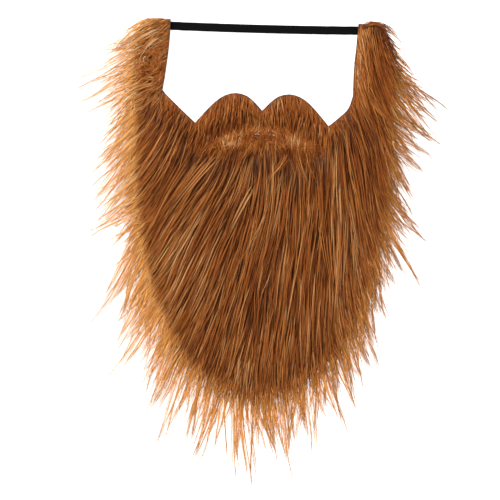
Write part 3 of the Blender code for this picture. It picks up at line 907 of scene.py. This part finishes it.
def keep_near_hem(roots, lengths):
    """Shortens the locks that would run far past the hem, which the fringe's own locks do."""
    past = 7 * MM * rng.random(len(roots)) ** 1.5
    along = lie_vectors(lie_at(roots))
    for _ in range(12):
        tips = roots + along * lengths[:, None]
        far = (distance_to(tips, hem_edges) > past) & ~is_inside(tips, cloth_edges)
        lengths = np.where(far, lengths * 0.9, lengths)
    return np.maximum(lengths, SHORTEST_LOCK)


def hem_line():
    """The outer edge of the cloth as a polyline from the left sideburn's tip to the right one's."""
    tops = np.where(cloth_loop[:, 1] > SIDEBURN_TOP - 0.1 * MM)[0]
    left = min(tops, key=lambda i: cloth_loop[i, 0])
    right = max(tops, key=lambda i: cloth_loop[i, 0])
    ways = []
    for turn in (1, -1):
        run = [left]
        while run[-1] != right:
            run.append((run[-1] + turn) % len(cloth_loop))
        ways.append(cloth_loop[run])
    return min(ways, key=lambda line: line[:, 1].min())


def run_lengths(line):
    """The length of a polyline up to each of its points."""
    return np.concatenate([[0], np.cumsum(np.hypot(*np.diff(line, axis=0).T))])


def places_along(line, shares):
    lengths = run_lengths(line)
    wanted = np.asarray(shares) * lengths[-1]
    return np.stack([np.interp(wanted, lengths, line[:, i]) for i in (0, 1)], axis=1)


def fringe_rows(shares):
    """The lie, reach and sweep of the fringe at shares of the hem's length."""
    places = [row["along"] for row in FRINGE]
    return {key: np.interp(shares, places, [row[key] for row in FRINGE]) for key in FRINGE[0]}


def roots_inside(places, lies, overlap):
    """Roots that lie the overlap back up the combing from places on the hem, or as far as they can."""
    roots = places - lie_vectors(lies) * overlap[:, None]
    for _ in range(6):
        off = ~on_cloth(roots)
        overlap = np.where(off, overlap * 0.6, overlap)
        roots = np.where(off[:, None], places - lie_vectors(lies) * overlap[:, None], roots)
    return roots, overlap


def fringe_wisps(stretch):
    """Long locks over a stretch of the hem, each of several wisps that draw together to its tip."""
    shares = [row["along"] for row in FRINGE if stretch["low"] <= row["along"] < stretch["high"]]
    between = [(a + b) / 2 for a, b in zip(shares, shares[1:])]
    long, short = stretch["wisps"]
    locks = [(share, 1.0, long) for share in shares] + [(share, 0.66, short) for share in between]
    t = np.linspace(0, 1, 10)
    wisps = []
    for share, length, parts in locks:
        row = {key: np.array([value]) for key, value in fringe_rows(share).items()}
        overlap = stretch["overlap"] * MM * rng.uniform(0.7, 1.1, 1)
        root, overlap = roots_inside(places_along(hem, [share]), row["lie"], overlap)
        reach = FRINGE_LENGTH * row["reach"] * length
        turned = row["sweep"] + rng.normal(0, 7, 1)
        middle = sweep_locks(root, row["lie"], turned, overlap + reach, len(t))
        aside = square_to(np.gradient(middle, axis=1))
        for across in np.linspace(-1, 1, parts) + rng.normal(0, 0.12, parts):
            drawn = across * FRINGE_ROOT_WIDTH / 2 * (1 - 0.8 * t**1.6)
            far = 5.0 if rng.random() < 0.3 else 1.6
            strayed = rng.normal(0, far * MM) * t**2 + rng.normal(0, 1.5 * MM) * np.sin(6 * t)
            line = middle + aside * (drawn + strayed)[:, None]
            cut = min(1.0, (1.14 - 0.36 * abs(across)) * rng.uniform(0.82, 1.05))
            wisps.append(resample(line, cut * np.linspace(0, 1, 7)[None, :])[0])
    wisps = np.array(wisps)
    shades = 0.5 + fringe_tone(wisps[:, 0]) + rng.normal(0, 0.08, len(wisps))
    layers = rng.uniform(*stretch["layers"], len(wisps))
    return hairs_of_locks(
        wisps, stretch["hairs"], WISP_WIDTH, layers, shades, 0.85, 0.8, (0.66, 1.0), mottle=0.05
    )


def short_fringe(count):
    """Short fine locks all along the hem, thinning out away from it."""
    shares = rng.uniform(0.004, 0.996, count)
    rows = fringe_rows(shares)
    places = places_along(hem, shares)
    lies = rows["lie"] + rng.normal(0, 9, count)
    roots, overlap = roots_inside(places, lies, rng.uniform(3, 12, count) * MM)
    past = (5 + 10 * rows["reach"]) * rng.exponential(1.0, count)
    lengths = overlap + np.minimum(past, 30) * MM
    lines = sweep_locks(roots, lies, rows["sweep"] + rng.normal(0, 9, count), lengths, 4)
    shades = 0.5 + fringe_tone(roots) + rng.normal(0, 0.06, count)
    layers = rng.uniform(0.1, 0.7, count)
    return hairs_of_locks(
        lines, STRAND_HAIRS, 1.0 * MM, layers, shades, trim=(0.9, 1.0), mottle=0.04
    )


def loose_hairs(count):
    """Fine single hairs that stray out of the fringe."""
    shares = rng.uniform(0.01, 0.99, count)
    rows = fringe_rows(shares)
    places = places_along(hem, shares)
    lies = rows["lie"] + rng.normal(0, 15, count)
    roots, overlap = roots_inside(places, lies, 8 * MM * np.ones(count))
    lengths = overlap + FRINGE_LENGTH * rows["reach"] * rng.uniform(0.3, 1.08, count)
    lines = sweep_locks(roots, lies, rng.normal(0, 26, count), lengths, 8)
    shades = 0.2 + rng.normal(0, 0.1, count)
    return hairs_of_locks(lines, 1, 0.5 * MM, rng.random(count), shades, trim=(0.8, 1.0))


def fringe_tone(roots):
    """How much paler the fringe is painted at its roots than on the whole: painted light where light
    comes through it on the left.
    """
    places, tones = np.array(FRINGE_TONES).T
    return np.interp(roots[:, 0] / MM, places, tones)


def curl_locks(count):
    """Fine locks that lie in a flat curl on the left sideburn."""
    around = rng.uniform(0, 360, count)
    radius = CURL_RADIUS * MM * np.sqrt(rng.uniform(0.04, 1, count))
    turned = np.radians(around)
    spokes = np.stack([np.cos(turned), np.sin(turned)], axis=1) * radius[:, None]
    arcs = rng.uniform(90, 230, count)
    lengths = radius * np.radians(arcs)
    middles = (np.array(CURL_PLACE) + rng.normal(0, 1.8, (count, 2))) * MM
    lines = sweep_locks(middles + spokes, around + 180, arcs, lengths, 8)
    shades = 0.42 + rng.normal(0, 0.06, count)
    layers = rng.uniform(0.8, 1.05, count)
    return hairs_of_locks(lines, 6, 0.7 * MM, layers, shades, 0.5, 0.5)


def edge_locks(count):
    """Short locks that cover the cloth close to the slit and to its edges beside the face."""
    start, end = face_edges[:, 0], face_edges[:, 1]
    sizes = np.hypot(*(end - start).T)
    chosen = rng.choice(len(sizes), count, p=sizes / sizes.sum())
    run = (end - start)[chosen]
    places = start[chosen] + run * rng.random((count, 1))
    inset = np.where(rng.random((count, 1)) < 0.62, 1.6, 8.0) * rng.random((count, 1)) * MM
    inward = square_to(run) * np.where(on_cloth(places + square_to(run) * MM), 1, -1)[:, None]
    roots = places + inward * inset
    lies = lie_at(roots) + rng.normal(0, 9, count)
    lengths = rng.uniform(8, 17, count) * MM
    lines = sweep_locks(roots, lies, rng.normal(0, 10, count), lengths, 4)
    shades = lock_shades(roots)
    layers = rng.uniform(0.3, 0.9, count)
    return hairs_of_locks(lines, 6, 1.4 * MM, layers, shades, 0.3, bare=0.25, sink=0.0)


def slit_locks(count):
    """Thin locks that hang from the moustache over the mouth slit, and short ones that curl up from
    below it."""
    edge = places_along(np.concatenate([slit_loop, slit_loop[:1]]), rng.random(count))
    middle = np.interp(edge[:, 0], *slit_middle())
    above = edge[:, 1] > middle
    inset = np.where(above, 1, -1) * rng.uniform(0.3, 4.5, count) * MM
    roots = edge + np.stack([np.zeros(count), inset], axis=1)
    turned = np.sign(edge[:, 0]) * rng.uniform(20, 80, count)
    lies = np.where(above, rng.normal(0, 14, count), 180 - turned)
    hanging, curled = rng.normal(0, 22, count), -np.sign(turned) * rng.uniform(70, 150, count)
    sweeps = np.where(above, hanging, curled)
    lengths = np.where(above, rng.uniform(9, 20, count), rng.uniform(7, 14, count)) * MM
    lines = sweep_locks(roots, lies, sweeps, lengths, 5)
    layers = rng.uniform(0.4, 1.0, count)
    return hairs_of_locks(lines, 6, 1.5 * MM, layers, 0.44 + rng.normal(0, 0.06, count), 0.5)


def slit_middle():
    """The mouth slit's middle line, as its places across in order and their heights."""
    order = np.argsort(slit_loop[:, 0])
    places, heights = slit_loop[order].T
    window = np.ones(9) / 9
    return places, np.convolve(np.pad(heights, 4, "edge"), window, "valid")


def standing_locks():
    """The few locks that stand out on top of the pile."""
    groups = []
    for row in STANDING_LOCKS:
        root = np.array([[row["x"], row["y"]]]) * MM
        length = np.array([row["length"] * MM])
        line = sweep_locks(root, row["lie"], row["sweep"], length, 8)
        shade = np.array([0.5 + row["tone"]])
        spread = row["width"] / 2 * MM
        groups.append(hairs_of_locks(line, row["hairs"], spread, np.array([1.05]), shade, 0.5))
    return groups


# Under-pile, cloth and elastic


def flat_pattern(loops, grid):
    """A bmesh of the flat shape inside the loops, in triangles of about the grid's size."""
    edges = np.concatenate([segments(loop) for loop in loops])
    low, high = loops[0].min(axis=0), loops[0].max(axis=0)
    columns, rows = (np.ceil((high - low) / grid) + 1).astype(int)
    i, j = np.meshgrid(np.arange(columns), np.arange(rows))
    spots = np.stack([(i + 0.5 * (j % 2)).ravel(), j.ravel() * 0.866], axis=1) * grid + low
    spots = spots[is_inside(spots, edges) & (distance_to(spots, edges) > 0.5 * grid)]
    points, rims = [], []
    for loop in loops:
        first = len(points)
        points += [Vector(p) for p in loop]
        rims += [(first + k, first + (k + 1) % len(loop)) for k in range(len(loop))]
    points += [Vector(p) for p in spots]
    placed, _, triangles, *_ = delaunay_2d_cdt(points, rims, [], 0, 1e-7)
    flat = np.array([tuple(p) for p in placed])
    middles = np.array([flat[list(t)].mean(axis=0) for t in triangles])
    keep = is_inside(middles, edges)
    pattern = bmesh.new()
    corners = [pattern.verts.new((*p, 0.0)) for p in flat]
    for triangle, inside in zip(triangles, keep):
        if inside:
            pattern.faces.new([corners[k] for k in triangle])
    loose = [v for v in pattern.verts if not v.link_faces]
    bmesh.ops.delete(pattern, geom=loose, context="VERTS")
    pattern.normal_update()
    if sum(face.normal.z for face in pattern.faces) < 0:
        bmesh.ops.reverse_faces(pattern, faces=pattern.faces)
    return pattern


def fine_loop(loop, step):
    """The loop with points a step apart."""
    closed = np.concatenate([loop, loop[:1]])
    lengths = run_lengths(closed)
    count = max(8, int(lengths[-1] / step))
    wanted = np.linspace(0, lengths[-1], count, endpoint=False)
    extra = np.sort(np.unique(np.concatenate([wanted, lengths[:-1]])))
    keep = np.concatenate([[True], np.diff(extra) > 0.2 * step])
    return np.stack([np.interp(extra[keep], lengths, closed[:, i]) for i in (0, 1)], axis=1)


def drawn_in(loop, distance):
    """The loop with each point moved into the cloth, square to the loop there."""
    aside = square_to(np.roll(loop, -1, 0) - np.roll(loop, 1, 0)) * distance
    return np.where(on_cloth(loop + aside)[:, None], loop + aside, loop - aside)


def solid_from(name, pattern, tops, bottoms, finish):
    """Makes the flat pattern a closed solid between the heights that two functions give."""
    grown = bmesh.ops.extrude_face_region(pattern, geom=pattern.faces[:])
    upper = {v for v in grown["geom"] if isinstance(v, bmesh.types.BMVert)}
    flat = np.array([v.co.xy.to_tuple() for v in pattern.verts])
    for vert, top, bottom in zip(pattern.verts, tops(flat), bottoms(flat)):
        vert.co.z = top if vert in upper else bottom
    bmesh.ops.recalc_face_normals(pattern, faces=pattern.faces)
    for face in pattern.faces:
        face.smooth = True
    return object_from(pattern, name, finish)


def make_under_pile(finish):
    """The dense short pile at the hairs' roots, which closes the view to the cloth and the slit."""
    outer = drawn_in(fine_loop(cloth_loop, UNDER_PILE_GRID), UNDER_PILE_INSET)
    slit = fine_loop(slit_loop, UNDER_PILE_GRID)
    middle = np.interp(slit[:, 0], *slit_middle())
    slit[:, 1] = middle + SLIT_GAP_SHARE * (slit[:, 1] - middle)

    def tops(flat):
        x, y = (flat / MM).T
        return under_pile_height(flat) + 0.15 * MM * np.sin(1.3 * x) * np.sin(0.9 * y)

    def bottoms(flat):
        return PILE_SEAT + cloth_lift(flat)

    pattern = flat_pattern([outer, slit], UNDER_PILE_GRID)
    return solid_from("dense_under_pile", pattern, tops, bottoms, finish)


def make_base_cloth(finish):
    """The knitted cloth under the pile, cut to shape, lying flat but over the elastic's ends.

    Returns the piece and the area of its flat cut.
    """
    outer, slit = fine_loop(cloth_loop, CLOTH_GRID), fine_loop(slit_loop, CLOTH_GRID)
    pattern = flat_pattern([outer, slit], CLOTH_GRID)
    area = sum(face.calc_area() for face in pattern.faces)

    def tops(flat):
        return cloth_lift(flat) + CLOTH_WALL

    return solid_from("knitted_base_cloth", pattern, tops, cloth_lift, finish), area


def make_elastic(finish):
    """Flat braided elastic with lengthwise ribs, a little wavy along its length."""
    spine = np.array([v.co.to_tuple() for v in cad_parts["elastic_band"].data.vertices])
    sides = np.linspace(0, 1, LANES_PER_RIB * ELASTIC_RIBS + 1)
    falls = ELASTIC_RIB_RISE * (1 - np.abs(np.sin(math.pi * ELASTIC_RIBS * sides)))
    band = bmesh.new()
    rings = []
    for x in np.linspace(BAND_LOW.x, BAND_HIGH.x, ELASTIC_STEPS + 1):
        near = spine[np.abs(spine[:, 0] - x) < 8 * MM]
        weight = np.exp(-((near[:, 0] - x) / (4 * MM)) ** 2)
        middle = (near[:, 1] * weight).sum() / weight.sum()
        top = BAND_HIGH.z + ELASTIC_WAVE_RISE * math.sin(x / ELASTIC_WAVE_LENGTH)
        lanes = list(zip(middle + (sides - 0.5) * ELASTIC_WIDTH, falls))
        ring = [(x, y, top - fall) for y, fall in lanes]
        ring += [(x, y, fall) for y, fall in reversed(lanes)]
        rings.append([band.verts.new(place) for place in ring])
    for a, b in zip(rings, rings[1:]):
        for j in range(len(a)):
            k = (j + 1) % len(a)
            band.faces.new((a[j], b[j], b[k], a[k]))
    band.faces.new(rings[0])
    band.faces.new(rings[-1][::-1])
    bmesh.ops.recalc_face_normals(band, faces=band.faces)
    for face in band.faces:
        face.smooth = len(face.verts) == 4
    return object_from(band, "braided_elastic", finish)


# Materials


def acrylic_pile_material():
    """Acrylic fibre, dyed ginger and combed: satin hairs, with painted shade at the roots and painted
    light past the hem, where light comes through the thin fringe.
    """
    made, tree, shader = new_material("Acrylic fur fibre, dyed ginger, combed")
    shade, along, fringe = (
        add_node(tree, "ShaderNodeAttribute", {"attribute_name": name}).outputs["Fac"]
        for name in ("shade", "along", "fringe")
    )
    dark, light = (0.0, "#4f2408"), (1.0, "#f0d0a2")
    ramps = (
        (shade, (dark, (0.3, "#8a4616"), (0.55, "#b06123"), (0.8, "#cf8a45"), light)),
        # Painted light: the fringe's paler ramp, for the light that comes through the thin hair past
        # the hem.
        (shade, ((0.0, "#8c5c34"), (0.3, "#c8823c"), (0.6, "#f8ad52"), (1.0, "#ffd596"))),
        # Painted shade: each hair is darkened towards its root, as if in the shade deep in the pile.
        (along, ((0.0, "#787878"), (0.35, "#ffffff"), (0.8, "#ffffff"), (1.0, "#c8bcae"))),
        (along, ((0.7, "#000000"), (1.0, "#c0c0c0"))),
    )
    body, past_hem, root, tip = (
        add_node(tree, "ShaderNodeValToRGB", inputs={"Fac": value}, stops=stops).outputs["Color"]
        for value, stops in ramps
    )
    colour, multiplied = {"data_type": "RGBA"}, {"data_type": "RGBA", "blend_type": "MULTIPLY"}
    # Painted light: the body's dyed colour is mixed towards the fringe's paler ramp past the hem.
    dyed = add_node(tree, "ShaderNodeMix", colour, {"Factor": fringe, 6: body, 7: past_hem})
    within = add_node(tree, "ShaderNodeMath", {"operation": "SUBTRACT"}, {0: 1.0, 1: fringe})
    shaded = add_node(
        tree,
        "ShaderNodeMix",
        multiplied,
        {"Factor": within.outputs[0], 6: dyed.outputs[2], 7: root},
    )
    faded = add_node(tree, "ShaderNodeMath", {"operation": "MULTIPLY"}, {0: tip, 1: fringe})
    ended = add_node(
        tree,
        "ShaderNodeMix",
        colour,
        {"Factor": faded.outputs[0], 6: shaded.outputs[2], 7: linear_colour("#9c7a56")},
    )
    satin = {"Base Color": ended.outputs[2], "Roughness": 0.48, "Specular IOR Level": 0.2}
    set_inputs(tree, shader, satin)
    return made


def tint_and_bump(tree, shader, tint, stops, height, strength, depth):
    """Colours a shader by a ramp over the tint, and bumps it by the height."""
    colour = add_node(tree, "ShaderNodeValToRGB", inputs={"Fac": tint}, stops=stops)
    relief = {"Height": height, "Strength": strength, "Distance": depth}
    bump = add_node(tree, "ShaderNodeBump", inputs=relief)
    looks = {"Base Color": colour.outputs["Color"], "Normal": bump.outputs["Normal"]}
    set_inputs(tree, shader, looks)


def under_pile_material():
    """The same fibre at its roots: close and matt, painted dark for the shade deep in the pile, with
    fine streaks along the combing.
    """
    made, tree, shader = new_material("Acrylic fur fibre at its roots")
    place = add_node(tree, "ShaderNodeTexCoord").outputs["Object"]
    drawn_out = {"Vector": place, "Scale": (1.0, 0.12, 1.0)}
    stretched = add_node(tree, "ShaderNodeMapping", inputs=drawn_out).outputs["Vector"]
    noise = {"Vector": stretched, "Scale": 1 / (0.9 * MM), "Detail": 4.0}
    streaks = add_node(tree, "ShaderNodeTexNoise", inputs=noise).outputs["Fac"]
    # Painted shade: darker than the hairs, for the shade deep in the pile.
    stops = ((0.3, "#3c1e08"), (0.5, "#633411"), (0.7, "#8a4d1e"))
    tint_and_bump(tree, shader, streaks, stops, streaks, 0.8, 0.6 * MM)
    set_inputs(tree, shader, {"Roughness": 0.8})
    return made


def knitted_cloth_material():
    """Warp-knitted backing cloth, brown: rows of small loops, matt, whose tops are painted lighter as
    highlights.
    """
    made, tree, shader = new_material("Knitted polyester backing cloth, brown")
    place = add_node(tree, "ShaderNodeTexCoord").outputs["Object"]
    split = add_node(tree, "ShaderNodeSeparateXYZ", inputs={"Vector": place}).outputs

    def wave(source, period, phase=0.0):
        """A sine wave along a coordinate, moved on by the phase."""
        turns = {0: source, 1: 2 * math.pi / period, 2: phase}
        moved = add_node(tree, "ShaderNodeMath", {"operation": "MULTIPLY_ADD"}, turns).outputs[0]
        return add_node(tree, "ShaderNodeMath", {"operation": "SINE"}, {0: moved}).outputs[0]

    scaled = {"operation": "MULTIPLY_ADD"}
    wales = wave(split["X"], KNIT_WALE)
    courses = wave(split["Y"], KNIT_COURSE, wales)
    loops = add_node(tree, "ShaderNodeMath", scaled, {0: wales, 1: courses, 2: 0.5}).outputs[0]
    noise = {"Vector": place, "Scale": 1 / (3 * MM), "Detail": 5.0}
    fuzz = add_node(tree, "ShaderNodeTexNoise", inputs=noise).outputs["Fac"]
    # Painted highlight: the tint is lighter where the loops are high.
    tint = add_node(tree, "ShaderNodeMath", scaled, {0: loops, 1: 0.4, 2: fuzz}).outputs[0]
    stops = ((0.2, "#2b190d"), (0.6, "#4a2f1d"), (1.0, "#6d4a31"))
    tint_and_bump(tree, shader, tint, stops, loops, 0.6, 0.3 * MM)
    set_inputs(tree, shader, {"Roughness": 0.9})
    return made


def braided_elastic_material():
    """Polyester braided elastic, black: fine slanting threads on its ribs, with a faint dull sheen."""
    made, tree, shader = new_material("Braided polyester elastic, black")
    place = add_node(tree, "ShaderNodeTexCoord").outputs["Object"]
    slanted = {"wave_type": "BANDS", "bands_direction": "DIAGONAL"}
    fine = {"Vector": place, "Scale": 1 / (1.6 * MM), "Distortion": 1.2, "Detail": 2.0}
    threads = add_node(tree, "ShaderNodeTexWave", slanted, fine).outputs["Fac"]
    stops = ((0.0, "#000000"), (1.0, "#0e0e10"))
    tint_and_bump(tree, shader, threads, stops, threads, 0.5, 0.12 * MM)
    set_inputs(tree, shader, {"Roughness": 0.7, "Specular IOR Level": 0.06})
    return made


# Table, lights and camera


def make_table():
    """The white table, lit to plain white as in the photograph."""
    made, tree, shader = new_material("White painted table")
    glow = {"Emission Color": linear_colour("#ffffff"), "Emission Strength": TABLE_GLOW}
    set_inputs(tree, shader, {"Base Color": linear_colour("#d8d8d8"), "Roughness": 0.9, **glow})
    top = bmesh.new()
    bmesh.ops.create_grid(top, x_segments=1, y_segments=1, size=TABLE_SIZE)
    object_from(top, "table", made)


def make_lights():
    """A soft key from the upper left, a weaker fill from the right, and a bright even room."""
    for row in LIGHTS:
        data = bpy.data.lights.new(row["name"], "AREA")
        data.shape = "DISK"
        data.size = row["size"]
        data.energy = row["power"]
        light = add_object(row["name"], data)
        light.location = row["place"]
        light.rotation_euler = (-Vector(row["place"])).to_track_quat("-Z", "Y").to_euler()
    world = bpy.data.worlds.new("studio")
    world.use_nodes = True
    room = {"Color": (1, 1, 1, 1), "Strength": ROOM_BRIGHTNESS}
    set_inputs(world.node_tree, world.node_tree.nodes["Background"], room)
    bpy.context.scene.world = world
    bpy.context.scene.view_settings.view_transform = "Standard"


def make_camera():
    """Straight above the middle of the photograph, turned as the photograph is."""
    turn = math.radians(PHOTO_TURN)
    right = PHOTO_PIXELS / 2 - ORIGIN_PIXEL[0]
    down = PHOTO_PIXELS / 2 - ORIGIN_PIXEL[1]
    x = PIXEL * (right * math.cos(turn) + down * math.sin(turn))
    y = PIXEL * (right * math.sin(turn) - down * math.cos(turn))
    data = bpy.data.cameras.new("camera")
    data.lens = CAMERA_LENS
    data.sensor_width = SENSOR_WIDTH
    camera = add_object("camera", data)
    camera.location = (x, y, PHOTO_PIXELS * PIXEL * CAMERA_LENS / SENSOR_WIDTH)
    camera.rotation_euler = (0, 0, turn)
    bpy.context.scene.camera = camera


# Assembly

sweep = hair_sweep_tree()
pile = acrylic_pile_material()
hem = hem_line()

make_table()
make_lights()
make_camera()

cloth, cloth_area = make_base_cloth(knitted_cloth_material())
finish_piece(cloth, "base_cloth", "base_cloth")
finish_piece(make_elastic(braided_elastic_material()), "elastic", "elastic_band")
furs = [bed["name"] + "_fur" for bed in BEDS]
finish_piece(make_under_pile(under_pile_material()), "fur", *furs)

for bed, region in zip(BEDS, (in_beard, in_moustache, in_left_sideburn, in_right_sideburn)):
    make_bed(bed, region)
for stretch in STRETCHES:
    hair_piece(
        "fringe_wisps_" + stretch["name"],
        [fringe_wisps(stretch)],
        "beard_fur",
        thickness=FRINGE_THICKNESS,
        taper=FRINGE_TAPER,
        tip=1.5,
    )
short = [short_fringe(SHORT_LOCKS)]
hair_piece("short_fringe", short, "beard_fur", thickness=1.1, taper=FRINGE_TAPER)
loose = [loose_hairs(LOOSE_HAIRS)]
hair_piece("loose_hairs", loose, "beard_fur", thickness=0.6, taper=4.0, tip=2.0)
hair_piece("slit_locks", [slit_locks(SLIT_LOCKS)], "moustache_fur", thickness=1.2)
hair_piece("edge_locks", [edge_locks(EDGE_LOCKS)], "beard_fur", thickness=0.9)
hair_piece("matted_curl", [curl_locks(CURL_LOCKS)], "left_sideburn_fur", thickness=0.8)
hair_piece("standing_locks", standing_locks(), "beard_fur")
